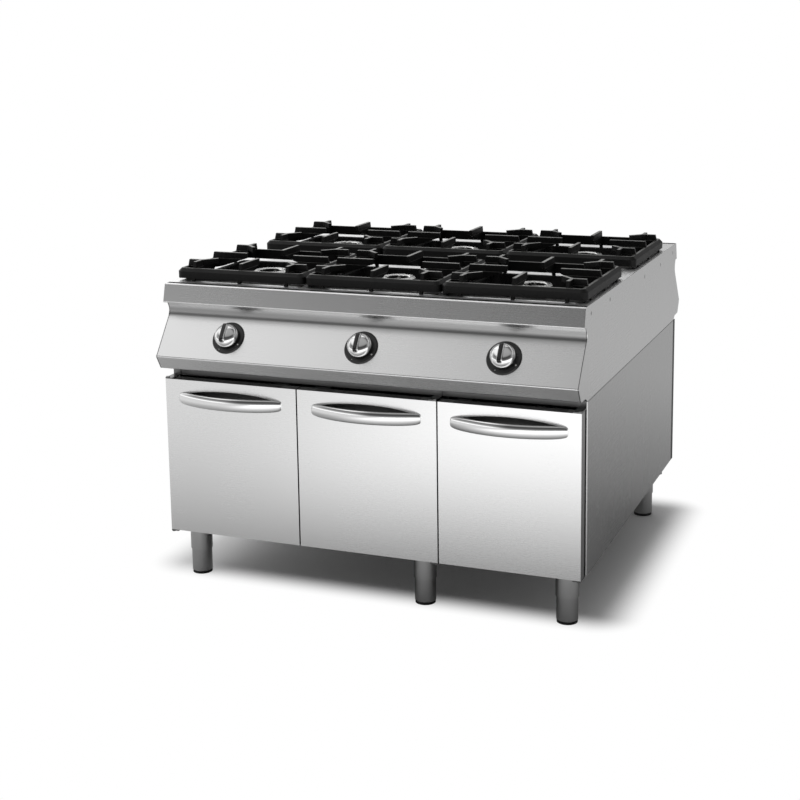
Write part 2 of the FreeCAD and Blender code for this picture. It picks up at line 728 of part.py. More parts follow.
def gas_manifold():
    """Front and rear rails joined by a link, and the drop to the inlet under the base."""
    rail_y, rail_z = panel_point(Vector(0, 0, -valve_tail() - MANIFOLD_STANDOFF))
    inlet_z = LEG_HEIGHT - INLET_DROP
    rail_start = Vector(-CELL_PITCH - MANIFOLD_OVERRUN, rail_y, rail_z)
    corner = Vector(LINK_X, rail_y, rail_z)
    far_corner = Vector(LINK_X, -rail_y, rail_z)
    far_end = Vector(-CELL_PITCH - MANIFOLD_OVERRUN, -rail_y, rail_z)
    branch = Vector(LINK_X, INLET_Y, rail_z)
    elbow = Vector(INLET_X, INLET_Y, rail_z)
    inlet = Vector(INLET_X, INLET_Y, inlet_z)
    runs = [
        (rail_start, corner),
        (corner, far_corner),
        (far_corner, far_end),
        (branch, elbow),
        (elbow, inlet),
    ]
    boss_foot = Vector(0, 0, -valve_tail() - MANIFOLD_STANDOFF)
    boss = Part.makeCylinder(MANIFOLD_BOSS_RADIUS, MANIFOLD_STANDOFF, boss_foot)
    bosses = [on_side(boss, row, x) for row, column, x, y in CELLS]
    nut = hexagon(INLET_HEX, INLET_X, INLET_Y, inlet_z, inlet_z + INLET_NUT_HEIGHT)
    outer = pipe_runs(runs, MANIFOLD_RADIUS)
    inner = pipe_runs(runs, MANIFOLD_BORE)
    ends = [
        block(
            (end.x, end.y - MANIFOLD_RADIUS, end.z - MANIFOLD_RADIUS),
            (end.x + END_CAP, end.y + MANIFOLD_RADIUS, end.z + MANIFOLD_RADIUS),
        )
        for end in (rail_start, far_end)
    ]
    thread = upright(
        INLET_THREAD_RADIUS, INLET_X, INLET_Y, inlet_z, inlet_z + INLET_THREAD_DEPTH
    )
    inner = inner.cut(ends)
    return outer.fuse(bosses + [nut]).cut([inner, thread])


def pipe_runs(runs, radius):
    """Straight rods of one radius, with a ball at each corner."""
    rods = []
    for start, end in runs:
        rods.append(Part.makeCylinder(radius, (end - start).Length, start, end - start))
    corners = {tuple(start) for start, end in runs[1:]}
    balls = [Part.makeSphere(radius, Vector(*corner)) for corner in sorted(corners)]
    return rods[0].fuse(rods[1:] + balls)


def hexagon(across, x, y, low, high):
    """A vertical hexagonal prism, measured across its flats."""
    corner = across / math.sqrt(3)
    points = [Vector(corner, 0, 0)]
    for i in range(6):
        points.append(Rotation(Z_AXIS, 60).multVec(points[-1]))
    prism = Part.Face(Part.makePolygon(points)).extrude(Z_AXIS * (high - low))
    return moved(prism, x, y, low)


# ---- Cabinet ----

def cabinet_side():
    """Left side panel, with a flange folded in at the front and at the rear."""
    inner = -HALF_WIDTH + SIDE_FLANGE
    path = [
        Vector(inner, -FACE_Y, LEG_HEIGHT),
        Vector(-HALF_WIDTH, -FACE_Y, LEG_HEIGHT),
        Vector(-HALF_WIDTH, FACE_Y, LEG_HEIGHT),
        Vector(inner, FACE_Y, LEG_HEIGHT),
    ]
    return folded_sheet(path, [BEND, BEND], SHEET, Z_AXIS, CABINET_HEIGHT)


def inlet_hole(low, high):
    """Clearance hole for the inlet pipe."""
    return upright(MANIFOLD_RADIUS + HOLE_FIT, INLET_X, INLET_Y, low, high)


def cabinet_base():
    """Floor of the cabinet, with flanges folded up against the side panels."""
    path = [
        Vector(INNER_HALF_WIDTH, 0, LEG_HEIGHT + BASE_FLANGE),
        Vector(INNER_HALF_WIDTH, 0, LEG_HEIGHT),
        Vector(-INNER_HALF_WIDTH, 0, LEG_HEIGHT),
        Vector(-INNER_HALF_WIDTH, 0, LEG_HEIGHT + BASE_FLANGE),
    ]
    half = FACE_Y - BEND
    sheet = folded_sheet(path, [BEND, BEND], SHEET, -Y_AXIS, 2 * half)
    sheet.translate(Vector(0, half, 0))
    return sheet.cut(inlet_hole(LEG_HEIGHT - 1, BASE_TOP_Z + 1))


def cabinet_rail():
    """Upper rear rail, a channel with its open side inwards."""
    x = HALF_WIDTH - SIDE_FLANGE
    low = CABINET_TOP - RAIL_FACE
    path = [
        Vector(-x, FACE_Y - RAIL_DEPTH, CABINET_TOP),
        Vector(-x, FACE_Y, CABINET_TOP),
        Vector(-x, FACE_Y, low),
        Vector(-x, FACE_Y - RAIL_DEPTH, low),
    ]
    return folded_sheet(path, [BEND, BEND], SHEET, X_AXIS, 2 * x)


def cabinet_rails():
    """Upper and lower rails, front and rear."""
    upper = cabinet_rail()
    lower = moved(upper, 0, 0, BASE_TOP_Z + RAIL_FACE - CABINET_TOP)
    return Part.makeCompound([upper, lower, turned(upper), turned(lower)])


def cabinet_ceiling():
    """Sheet that closes the cabinet under the burner box, laid on the upper rails."""
    y = FACE_Y - RAIL_DEPTH + CEILING_LAP
    low = (-INNER_HALF_WIDTH, -y, CABINET_TOP)
    high = (INNER_HALF_WIDTH, y, CABINET_TOP + SHEET)
    return block(low, high).cut(inlet_hole(CABINET_TOP - 1, CABINET_TOP + SHEET + 1))


def cabinet_partition():
    """Upright sheet between the compartments, flanged onto base and ceiling."""
    out = PARTITION_X + PARTITION_FLANGE
    y = FACE_Y - RAIL_DEPTH
    path = [
        Vector(out, y, BASE_TOP_Z),
        Vector(PARTITION_X, y, BASE_TOP_Z),
        Vector(PARTITION_X, y, CABINET_TOP),
        Vector(out, y, CABINET_TOP),
    ]
    return folded_sheet(path, [BEND, BEND], SHEET, -Y_AXIS, 2 * y)


def spacer_bars():
    """Four black bars that hold the rear panel off the cabinet."""
    near = FACE_Y
    far = FACE_Y + SPACER_DEPTH
    inner = HALF_WIDTH - SPACER_WIDTH
    lower = block((-inner, near, LEG_HEIGHT), (inner, far, LEG_HEIGHT + SPACER_WIDTH))
    upper = block((-inner, near, CABINET_TOP - SPACER_WIDTH), (inner, far, CABINET_TOP))
    right = block((inner, near, LEG_HEIGHT), (HALF_WIDTH, far, CABINET_TOP))
    left = block((-HALF_WIDTH, near, LEG_HEIGHT), (-inner, far, CABINET_TOP))
    return Part.makeCompound([lower, upper, left, right])


def rear_panel():
    """Closed stainless rear panel on the spacer bars."""
    near = FACE_Y + SPACER_DEPTH
    return block((-HALF_WIDTH, near, LEG_HEIGHT), (HALF_WIDTH, near + SHEET, CABINET_TOP))


# ---- Legs ----

def leg_sleeve(x, y):
    """Upper leg tube under its plate, with the nut that the foot screws into."""
    plate_z = LEG_HEIGHT - LEG_PLATE_THICK
    low = plate_z - SLEEVE_LENGTH
    nut_z = plate_z - LEG_NUT_HEIGHT
    plate = block(
        (x - LEG_PLATE, y - LEG_PLATE, plate_z),
        (x + LEG_PLATE, y + LEG_PLATE, LEG_HEIGHT),
    )
    tube = upright(SLEEVE_RADIUS, x, y, low, plate_z)
    tube = tube.cut(upright(SLEEVE_RADIUS - SLEEVE_WALL, x, y, low, plate_z))
    nut = upright(LEG_NUT_RADIUS, x, y, nut_z, plate_z)
    nut = nut.cut(upright(FOOT_SCREW_RADIUS + FOOT_SCREW_FIT, x, y, nut_z, plate_z))
    return plate.fuse([tube, nut])


def foot(x, y):
    """Lower leg tube with its screw, on a rubber ring."""
    radius = SLEEVE_RADIUS - SLEEVE_WALL - FOOT_CLEARANCE
    top = LEG_HEIGHT - LEG_PLATE_THICK - LEG_NUT_HEIGHT - FOOT_STOP_GAP
    tube = upright(radius, x, y, PAD_HEIGHT, top)
    bore = radius - FOOT_TUBE_WALL
    hollow = upright(bore, x, y, PAD_HEIGHT + FOOT_TUBE_WALL, top - FOOT_TUBE_WALL)
    screw = upright(FOOT_SCREW_RADIUS, x, y, top, top + FOOT_SCREW_LENGTH)
    pad = upright(radius - PAD_INSET, x, y, 0, PAD_HEIGHT)
    return Part.makeCompound([tube.cut(hollow).fuse(screw), pad])


# ---- Doors ----

def door_spans():
    """Left edge, right edge and hinge side (-1 left, 1 right) of each door."""
    outer = HALF_WIDTH - DOOR_SIDE_INSET
    half_gap = DOOR_GAP / 2
    return {
        "left": (-outer, DOUBLE_DOOR_SPLIT_X - half_gap, -1),
        "middle": (DOUBLE_DOOR_SPLIT_X + half_gap, PARTITION_X - half_gap, 1),
        "right": (PARTITION_X + half_gap, outer, 1),
    }


def pin_place(left, right, side):
    """Place of a door's hinge axis, as (x, y)."""
    edge = left if side < 0 else right
    return edge - side * PIN_INSET, DOOR_FACE_Y + PIN_INSET


def oval(middle_x, half_width, half_height, low_y, high_y):
    """An oval prism along Y, centred on the door handle."""
    ellipse = Part.Ellipse(Vector(0, 0, 0), half_width, half_height).toShape()
    prism = Part.Face(Part.Wire(ellipse)).extrude(Z_AXIS * (high_y - low_y))
    prism.rotate(ORIGIN, X_AXIS, 90)
    return moved(prism, middle_x, high_y, DOOR_TOP_Z - HANDLE_DROP)


def door_skin(left, right, side):
    """Outer door pan, with an oval finger recess behind the handle and the pins' holes."""
    outer = block((left, DOOR_FACE_Y, DOOR_BOTTOM_Z), (right, DOOR_BACK_Y, DOOR_TOP_Z))
    hollow = block(
        (left + DOOR_SHEET, DOOR_FACE_Y + DOOR_SHEET, DOOR_BOTTOM_Z + DOOR_SHEET),
        (right - DOOR_SHEET, DOOR_BACK_Y + 1, DOOR_TOP_Z - DOOR_SHEET),
    )
    middle = (left + right) / 2
    floor = DOOR_FACE_Y + RECESS_DEPTH
    cup = oval(middle, RECESS_HALF_WIDTH, RECESS_HALF_HEIGHT, DOOR_FACE_Y, floor)
    hand = oval(
        middle,
        RECESS_HALF_WIDTH - DOOR_SHEET,
        RECESS_HALF_HEIGHT - DOOR_SHEET,
        DOOR_FACE_Y - 1,
        floor - DOOR_SHEET,
    )
    x, y = pin_place(left, right, side)
    holes = upright(PIN_RADIUS + PIN_FIT, x, y, DOOR_BOTTOM_Z - 1, DOOR_TOP_Z + 1)
    return outer.cut([hollow, holes]).fuse(cup).cut(hand)


def door_liner(left, right):
    """Inner door pan, set between the skin's flanges."""
    inner_left = left + DOOR_SHEET
    inner_right = right - DOOR_SHEET
    low = DOOR_BOTTOM_Z + DOOR_SHEET
    high = DOOR_TOP_Z - DOOR_SHEET
    front = DOOR_BACK_Y - LINER_DEPTH
    outer = block((inner_left, front, low), (inner_right, DOOR_BACK_Y, high))
    hollow = block(
        (inner_left + DOOR_SHEET, front - 1, low + DOOR_SHEET),
        (inner_right - DOOR_SHEET, DOOR_BACK_Y - DOOR_SHEET, high - DOOR_SHEET),
    )
    return outer.cut(hollow)


def door_handle(left, right):
    """Bow handle: a strip bent outwards, with rounded ends."""
    middle = (left + right) / 2
    half = HANDLE_WIDTH / 2
    radius = (half ** 2 + HANDLE_STANDOFF ** 2) / (2 * HANDLE_STANDOFF)
    centre_y = DOOR_FACE_Y - HANDLE_STANDOFF + radius
    middle_z = DOOR_TOP_Z - HANDLE_DROP
    low = middle_z - HANDLE_HEIGHT / 2
    high = middle_z + HANDLE_HEIGHT / 2
    bow = upright(radius, middle, centre_y, low, high)
    bow = bow.cut(upright(radius - HANDLE_THICK, middle, centre_y, low, high))
    pill = rounded_slab(HANDLE_WIDTH, HANDLE_HEIGHT, HANDLE_HEIGHT / 2 - 1, 0, HANDLE_STANDOFF + 1)
    pill.rotate(ORIGIN, X_AXIS, 90)
    pill = moved(pill, middle, DOOR_FACE_Y, middle_z)
    handle = bow.common(pill)
    return handle.makeFillet(HANDLE_EDGE, handle.Edges)


def hinge_bracket(left, right, side, top):
    """Bracket that holds a door's upper or lower pin, and the pin in its hole."""
    edge = left if side < 0 else right
    near = edge if side < 0 else edge - BRACKET_WIDTH
    far = near + BRACKET_WIDTH
    x, y = pin_place(left, right, side)
    if top:
        low = DOOR_TOP_Z + BRACKET_GAP
        high = low + BRACKET_THICK
        leg_top = high + BRACKET_LEG - BRACKET_THICK
        pin = upright(PIN_RADIUS, x, y, DOOR_TOP_Z - PIN_REACH, high)
        head = upright(PIN_HEAD_RADIUS, x, y, high, high + PIN_HEAD_HEIGHT)
    else:
        high = DOOR_BOTTOM_Z - BRACKET_GAP
        low = high - BRACKET_THICK
        leg_top = high + BRACKET_LEG
        pin = upright(PIN_RADIUS, x, y, low, DOOR_BOTTOM_Z + PIN_REACH)
        head = upright(PIN_HEAD_RADIUS, x, y, low - PIN_HEAD_HEIGHT, low)
    leg = block((near, -FACE_Y - BRACKET_THICK, high), (far, -FACE_Y, leg_top))
    plate = block((near, DOOR_FACE_Y, low), (far, -FACE_Y, high)).fuse(leg)
    plate = plate.cut(upright(PIN_RADIUS + PIN_SEAT_FIT, x, y, low, high))
    return [plate, pin.fuse(head)]


def door_catch(left, right, side):
    """Magnetic catch under the upper rail, behind the door's free edge."""
    free = right - CATCH_FROM_EDGE if side < 0 else left + CATCH_FROM_EDGE
    top = CABINET_TOP - RAIL_FACE
    return block(
        (free - CATCH_WIDTH / 2, DOOR_BACK_Y + CATCH_CLEARANCE, top - CATCH_HEIGHT),
        (free + CATCH_WIDTH / 2, CATCH_SEAT - FACE_Y, top),
    )


# ---- Every node ----

def build():
    """Model every piece and write its STEP file."""
    os.makedirs("parts", exist_ok=True)
    save(worktop(), "worktop")
    save(Part.makeCompound(at_cells(drip_well())), "burner_wells")
    panel = control_panel()
    save(Part.makeCompound([panel, turned(panel)]), "control_panels")
    side = unit_side_panel()
    save(Part.makeCompound([side, turned(side)]), "unit_side_panels")
    save(Part.makeCompound(at_cells(burner_body())), "burner_bodies")
    save(Part.makeCompound(at_cells(flame_sensor())), "flame_sensors")
    save(Part.makeCompound(at_cells(injector())), "injectors")
    valves = [on_side(gas_valve(), row, x) for row, column, x, y in CELLS]
    save(Part.makeCompound(valves), "gas_valves")
    bezels = [on_side(knob_bezel(), row, x) for row, column, x, y in CELLS]
    save(Part.makeCompound(bezels), "knob_bezels")
    pipes = [moved(supply_pipe(row, y), x, 0) for row, column, x, y in CELLS]
    save(Part.makeCompound(pipes), "supply_pipes")
    save(gas_manifold(), "gas_manifold")

    crown = burner_crown()
    support = pan_support()
    for row, column, x, y in CELLS:
        cell = row + "_" + column
        save(moved(crown, x, y), "burner_crown_" + cell)
        save(moved(support, x, y), "pan_support_" + cell)
        save(on_side(knob(), row, x), "knob_" + cell)
        save(on_side(spindle(), row, x), "valve_spindle_" + cell)

    side = cabinet_side()
    save(Part.makeCompound([side, turned(side)]), "cabinet_side_panels")
    save(cabinet_base(), "cabinet_base")
    save(cabinet_rails(), "cabinet_rails")
    save(cabinet_ceiling(), "cabinet_ceiling")
    save(cabinet_partition(), "cabinet_partition")
    save(spacer_bars(), "rear_spacer_bars")
    save(rear_panel(), "rear_panel")

    sleeves = []
    for row, y in (("front", FRONT_LEG_Y), ("rear", REAR_LEG_Y)):
        for column, x in zip(COLUMNS, LEG_X):
            sleeves.append(leg_sleeve(x, y))
            save(foot(x, y), "foot_" + row + "_" + column)
    save(Part.makeCompound(sleeves), "leg_sleeves")

    brackets = []
    catches = []
    for name, (left, right, hinge) in door_spans().items():
        save(door_skin(left, right, hinge), "door_skin_" + name)
        save(door_liner(left, right), "door_liner_" + name)
        save(door_handle(left, right), "door_handle_" + name)
        brackets += hinge_bracket(left, right, hinge, True)
        brackets += hinge_bracket(left, right, hinge, False)
        catches.append(door_catch(left, right, hinge))
    save(Part.makeCompound(brackets), "hinge_brackets")
    save(Part.makeCompound(catches), "door_catches")


build()
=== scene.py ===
import math

import bmesh
import bpy
import numpy as np
from mathutils import Matrix, Vector


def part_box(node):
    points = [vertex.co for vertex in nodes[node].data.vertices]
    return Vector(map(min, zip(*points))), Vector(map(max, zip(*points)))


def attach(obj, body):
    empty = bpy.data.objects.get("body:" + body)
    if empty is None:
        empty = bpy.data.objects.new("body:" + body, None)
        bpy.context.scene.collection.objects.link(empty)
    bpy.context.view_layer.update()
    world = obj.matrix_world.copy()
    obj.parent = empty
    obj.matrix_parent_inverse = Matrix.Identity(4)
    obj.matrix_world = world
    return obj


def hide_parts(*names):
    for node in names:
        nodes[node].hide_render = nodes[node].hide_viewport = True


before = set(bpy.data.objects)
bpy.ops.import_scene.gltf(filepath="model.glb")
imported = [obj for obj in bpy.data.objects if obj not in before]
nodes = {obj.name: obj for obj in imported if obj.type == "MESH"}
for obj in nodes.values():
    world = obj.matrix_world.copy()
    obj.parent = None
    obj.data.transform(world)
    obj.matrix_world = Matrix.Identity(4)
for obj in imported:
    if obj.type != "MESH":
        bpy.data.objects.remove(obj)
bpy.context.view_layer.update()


# ---- Worktop ----
# One pressed sheet of 2 mm stainless steel with both fascias folded down, brushed along the
# range and scoured duller on top. The pressed drip groove behind each edge and the rim around
# each well's opening are painted near black and matt: painted shade for the groove and under
# the pan supports.

class Signal:
    """A number that varies over a surface. An expression on it adds its Math nodes."""

    def __init__(self, shading, socket):
        self.shading = shading
        self.socket = socket

    def __add__(self, other):
        return self.shading.math("ADD", self, other)

    def __sub__(self, other):
        return self.shading.math("SUBTRACT", self, other)

    def __rsub__(self, other):
        return self.shading.math("SUBTRACT", other, self)

    def __mul__(self, other):
        return self.shading.math("MULTIPLY", self, other)

    def __gt__(self, other):
        return self.shading.math("GREATER_THAN", self, other)

    def __lt__(self, other):
        return self.shading.math("LESS_THAN", self, other)

    def __abs__(self):
        return self.shading.math("ABSOLUTE", self)

    __radd__ = __add__
    __rmul__ = __mul__

    def soft_step(self, start, end):
        """0 before start, 1 after end, smooth between."""
        made = self.shading.node(
            "ShaderNodeMapRange",
            {"interpolation_type": "SMOOTHSTEP", "clamp": True},
            {"Value": self, "From Min": start, "From Max": end},
        )
        return Signal(self.shading, made.outputs[0])


class Shading:
    """Short ways to add nodes to one node tree."""

    def __init__(self, tree):
        self.tree = tree

    def node(self, kind, settings, inputs):
        """Any node: its settings first, a ramp's stops among them, then its inputs."""
        made = self.tree.nodes.new(kind)
        stops = settings.pop("stops", None)
        for key, value in settings.items():
            setattr(made, key, value)
        if stops:
            elements = made.color_ramp.elements
            elements.remove(elements[1])
            elements[0].position, elements[0].color = stops[0][0], (*stops[0][1], 1.0)
            for position, colour in stops[1:]:
                elements.new(position).color = (*colour, 1.0)
        for key, value in inputs.items():
            self.link(made.inputs[key], value)
        return made

    def link(self, socket, value):
        """Feed a socket from a signal or an output, or set it to a constant."""
        if isinstance(value, Signal):
            value = value.socket
        if isinstance(value, bpy.types.NodeSocket):
            self.tree.links.new(value, socket)
        else:
            socket.default_value = value

    def math(self, operation, *values):
        settings = {"operation": operation}
        made = self.node("ShaderNodeMath", settings, dict(enumerate(values)))
        return Signal(self, made.outputs[0])

    def place(self):
        """Object coordinates: the point on the piece, in metres."""
        return self.node("ShaderNodeTexCoord", {}, {}).outputs["Object"]

    def xyz(self, vector):
        split = self.node("ShaderNodeSeparateXYZ", {}, {"Vector": vector})
        return [Signal(self, output) for output in split.outputs]

    def noise(self, per_metre, detail=4.0, roughness=0.6):
        """Noise with so many patches per metre along X, Y and Z, about 0.5 on average."""
        settings = {"vector_type": "POINT"}
        mapped = self.node(
            "ShaderNodeMapping", settings, {"Vector": self.place(), "Scale": per_metre}
        )
        inputs = {"Vector": mapped.outputs[0], "Scale": 1.0}
        inputs.update({"Detail": detail, "Roughness": roughness})
        made = self.node("ShaderNodeTexNoise", {}, inputs)
        return Signal(self, made.outputs["Fac"])

    def mix(self, factor, first, second):
        """A colour that goes from the first to the second with a factor from 0 to 1."""
        made = self.node("ShaderNodeMix", {"data_type": "RGBA"}, {"Factor": factor})
        for socket, colour in ((made.inputs[6], first), (made.inputs[7], second)):
            self.link(socket, (*colour, 1.0) if isinstance(colour, tuple) else colour)
        return made.outputs[2]


class Finish(Shading):
    """One material with a Principled shader."""

    def __init__(self, name, colour, roughness, metallic=0.0):
        self.material = bpy.data.materials.new(name)
        self.material.use_nodes = True
        super().__init__(self.material.node_tree)
        self.shader = self.tree.nodes["Principled BSDF"]
        self.set("Base Color", (*colour, 1.0))
        self.set("Roughness", roughness)
        self.set("Metallic", metallic)

    def set(self, name, value):
        self.link(self.shader.inputs[name], value)

    def relief(self, height, depth):
        """Bump from a height signal of 0 to 1, depth in metres."""
        made = self.node("ShaderNodeBump", {}, {"Height": height, "Distance": depth})
        self.set("Normal", made.outputs[0])


GRAIN_DEPTH = 0.0000012
TONE_SPREAD = 0.012
MEAN_ROUGHNESS = 0.3


class BrushedSteel(Finish):
    """Stainless sheet: fine grain lines one way, faint smears, and a cloudy wiped look."""

    def __init__(self, name, grain_scale, tone=0.66, roughness=0.27):
        super().__init__(name, (tone, tone, tone), roughness, 1.0)
        self.grain = self.noise(grain_scale, detail=3.0)
        streaks = self.noise(tuple(0.3 * s for s in grain_scale), detail=2.0)
        smears = self.noise((3.0, 4.0, 2.5), detail=9.0)
        self.rough = roughness - 0.05 + self.grain * 0.03 + streaks * 0.01 + smears * 0.06
        shade = self.grain * 0.4 + streaks * 0.1 + smears * 0.5
        darker = (tone - TONE_SPREAD,) * 3
        paler = (tone + TONE_SPREAD,) * 3
        self.colour = self.mix(shade.soft_step(0.25, 0.75), darker, paler)
        self.set("Base Color", self.colour)
        self.set("Roughness", self.rough)
        self.relief(self.grain, GRAIN_DEPTH)

    def dull(self, mask, roughness):
        """Take the sheet's roughness to about another value where the mask is 1."""
        self.rough = self.rough + mask * (roughness - MEAN_ROUGHNESS)
        self.set("Roughness", self.rough)

    def stain(self, mask, colour, roughness):
        """Give the sheet another colour and roughness where the mask is 1."""
        self.colour = self.mix(mask, self.colour, colour)
        self.set("Base Color", self.colour)
        self.dull(mask, roughness)


def paint(finish, *names):
    """Give CAD nodes one material."""
    for name in names:
        slots = nodes[name].data.materials
        slots.clear()
        slots.append(finish.material)


ALONG_X = (8.0, 1400.0, 1400.0)
ALONG_Y = (1400.0, 8.0, 1400.0)
UPRIGHT = (1400.0, 1400.0, 8.0)
WORKTOP_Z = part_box("worktop")[1].z
TOP_DEPTH = 0.003
GROOVE_INNER_Y = 0.5465
GROOVE_OUTER_Y = 0.5637
CELL_PITCH = 0.394
CELL_ROWS = (-0.326, 0.222)
RIM_HALF_WIDTH = 0.186
RIM_HALF_DEPTH = 0.1885


def in_cell(finish):
    """Offsets from the nearest burner cell's middle: X wrapped by the pitch, Y folded."""
    x, y, z = finish.xyz(finish.place())
    middle_y = (CELL_ROWS[0] + CELL_ROWS[1]) / 2
    across = finish.math("WRAP", x, -CELL_PITCH / 2, CELL_PITCH / 2)
    return across, abs(y - middle_y) - (CELL_ROWS[1] - middle_y)


worktop_steel = BrushedSteel("brushed_worktop", ALONG_X, tone=0.84)
x, y, z = worktop_steel.xyz(worktop_steel.place())
top_side = z > WORKTOP_Z - TOP_DEPTH
in_groove = (abs(y) > GROOVE_INNER_Y) * (abs(y) < GROOVE_OUTER_Y)
across, along = in_cell(worktop_steel)
on_rim = (abs(across) < RIM_HALF_WIDTH) * (abs(along) < RIM_HALF_DEPTH)
# Painted shade: the drip groove and the well rims go near black and matt.
groove_and_rim_shade = worktop_steel.math("MAXIMUM", in_groove, on_rim) * top_side
worktop_steel.dull(top_side, 0.42)
worktop_steel.stain(groove_and_rim_shade, (0.012, 0.012, 0.012), 0.75)
worktop_steel.set("Metallic", 1.0 - groove_and_rim_shade)
paint(worktop_steel, "worktop")


# ---- Burner wells ----
# Six pressed steel pans in black enamel, hung under the openings of the worktop. Spilt food
# has burnt to a dull brown film on their floors, while their walls keep their gloss.

BLACK = (0.012, 0.012, 0.013)
BURNT_FILM = (0.075, 0.07, 0.066)
WELL_FLOOR_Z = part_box("burner_wells")[0].z

enamel = Finish("black_enamel", BLACK, 0.3)
spatter = enamel.noise((35.0, 35.0, 35.0), detail=10.0, roughness=0.7)
x, y, z = enamel.xyz(enamel.place())
on_floor = 1.0 - (z - WELL_FLOOR_Z).soft_step(0.002, 0.012)
film = spatter.soft_step(0.4, 0.62) * (0.15 + 0.85 * on_floor)
enamel.set("Base Color", enamel.mix(film, BLACK, BURNT_FILM))
enamel.set("Roughness", 0.22 + film * 0.4 + spatter * 0.1)
enamel.set("Coat Weight", 0.3 - film * 0.3)
enamel.relief(enamel.noise((260.0, 260.0, 260.0), detail=2.0) * 0.5 + film * 0.5, 0.0003)
paint(enamel, "burner_wells")


# ---- Control panels ----
# Folded stainless sheet, 1.5 mm, front and rear alike: a slope for the knobs, a blunt lip
# below it and an underside turned back to the cabinet. Brushed along the range, with a soft
# dark band painted in the fold under the worktop as shade, and a dark joint where each end
# meets its side panel.

FOLD_TOP_Z = 0.787
FOLD_MIDDLE_Z = (0.772, 0.776)
FOLD_FOOT_Z = 0.742
PANEL_END_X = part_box("control_panels")[1].x
END_LINE = 0.0018

panel_steel = BrushedSteel("brushed_panels", ALONG_X, tone=0.79)
x, y, z = panel_steel.xyz(panel_steel.place())
below = z.soft_step(FOLD_FOOT_Z, FOLD_MIDDLE_Z[0])
fold_shade = below * (1.0 - z.soft_step(FOLD_MIDDLE_Z[1], FOLD_TOP_Z))
at_ends = abs(x).soft_step(PANEL_END_X - END_LINE, PANEL_END_X - 0.7 * END_LINE)
# Painted shade: a soft darker, duller band along the fold under the worktop.
panel_steel.stain(fold_shade * 0.75, (0.16, 0.16, 0.16), 0.34)
panel_steel.stain(at_ends, (0.03, 0.03, 0.03), 0.6)
paint(panel_steel, "control_panels")


# ---- Side panels of the top unit ----
# Flat stainless sheets that close the burner box, brushed from front to rear. Each is held
# by countersunk cross-head screws along its top edge, painted on as a dark ring and cross that
# stand for the shade round each head and in its recess. Its foot stands on the cabinet with a
# thin dark joint.

SCREWS = ((-0.518, 0.826), (-0.318, 0.826), (0.106, 0.817), (0.330, 0.817), (0.518, 0.826))
SCREW_RADIUS = 0.0040
SLOT_HALF_WIDTH = 0.0007
SLOT_REACH = 0.0026
SIDE_FOOT_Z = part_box("unit_side_panels")[0].z
JOINT_LINE = 0.0022

side_steel = BrushedSteel("brushed_sides", ALONG_Y, tone=0.72)
x, y, z = side_steel.xyz(side_steel.place())
rim = 0.0
cross = 0.0
for screw_y, screw_z in SCREWS:
    across = abs(y - screw_y)
    rise = abs(z - screw_z)
    out = side_steel.math("SQRT", across * across + rise * rise)
    rim = rim + (1.0 - abs(out - SCREW_RADIUS).soft_step(0.0004, 0.0012))
    arms = (across < SLOT_HALF_WIDTH) + (rise < SLOT_HALF_WIDTH)
    cross = cross + arms * (out < SLOT_REACH)
# Painted shade: each screw head is a dark ring and cross on the flat sheet.
side_steel.stain(rim + cross.soft_step(0.1, 0.9), (0.02, 0.02, 0.02), 0.5)
joint = 1.0 - z.soft_step(SIDE_FOOT_Z + 0.7 * JOINT_LINE, SIDE_FOOT_Z + JOINT_LINE)
side_steel.stain(joint, (0.05, 0.05, 0.05), 0.6)
paint(side_steel, "unit_side_panels")


# ---- Burner bodies ----
# Aluminium castings with a sandy skin. Each stands on the floor of its well with its mixing
# tube below, and heat has browned the top of the pot.

POT_TOP_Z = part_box("burner_bodies")[1].z
CAST_GREY = (0.42, 0.42, 0.42)
HEAT_BROWN = (0.13, 0.11, 0.09)

casting = Finish("cast_aluminium", CAST_GREY, 0.5, 1.0)
sand = casting.noise((600.0, 600.0, 600.0), detail=5.0)
x, y, z = casting.xyz(casting.place())
heat = (z - POT_TOP_Z).soft_step(-0.03, 0.0)
casting.set("Base Color", casting.mix(heat, CAST_GREY, HEAT_BROWN))
casting.set("Roughness", 0.4 + sand * 0.25)
casting.relief(sand, 0.0003)
paint(casting, "burner_bodies")


# ---- Burner crowns ----
# Loose caps on the pots. The rim is turned and chromed, the sunk middle is dark from the
# flames with a few bright wipes, and the ports are cut into the skirt.

CROWN_RIM_RADIUS = 0.0345
RINGS_PER_METRE = 9000.0
CHROME = (0.78, 0.78, 0.77)
SOOT = (0.035, 0.034, 0.033)
CELLS = ["front_left", "front_middle", "front_right", "rear_left", "rear_middle", "rear_right"]

crown_metal = Finish("chromed_crown", (0.75, 0.75, 0.75), 0.16, 1.0)
across, along = in_cell(crown_metal)
radius = crown_metal.math("SQRT", across * across + along * along)
turned_rings = crown_metal.math("SINE", radius * RINGS_PER_METRE)
wipes = crown_metal.noise((60.0, 60.0, 60.0), detail=6.0)
sunk = 1.0 - radius.soft_step(CROWN_RIM_RADIUS - 0.002, CROWN_RIM_RADIUS)
soot = sunk * (1.0 - wipes.soft_step(0.52, 0.6))
crown_metal.set("Base Color", crown_metal.mix(soot, CHROME, SOOT))
crown_metal.set("Roughness", 0.12 + soot * 0.3 + wipes * 0.12)
crown_metal.relief(turned_rings * 0.3 + wipes, 0.0002)
paint(crown_metal, *["burner_crown_" + cell for cell in CELLS])


# ---- Flame sensors, injectors, valves and spindles ----
# Thermocouples are stainless probes blued by heat. Injectors and valve bodies are turned
# from brass, and the spindles are plain turned steel.

PROBE_STEEL = (0.5, 0.48, 0.46)
BLUED_STEEL = (0.14, 0.13, 0.17)
NEW_BRASS = (0.65, 0.48, 0.22)
DULL_BRASS = (0.3, 0.2, 0.09)

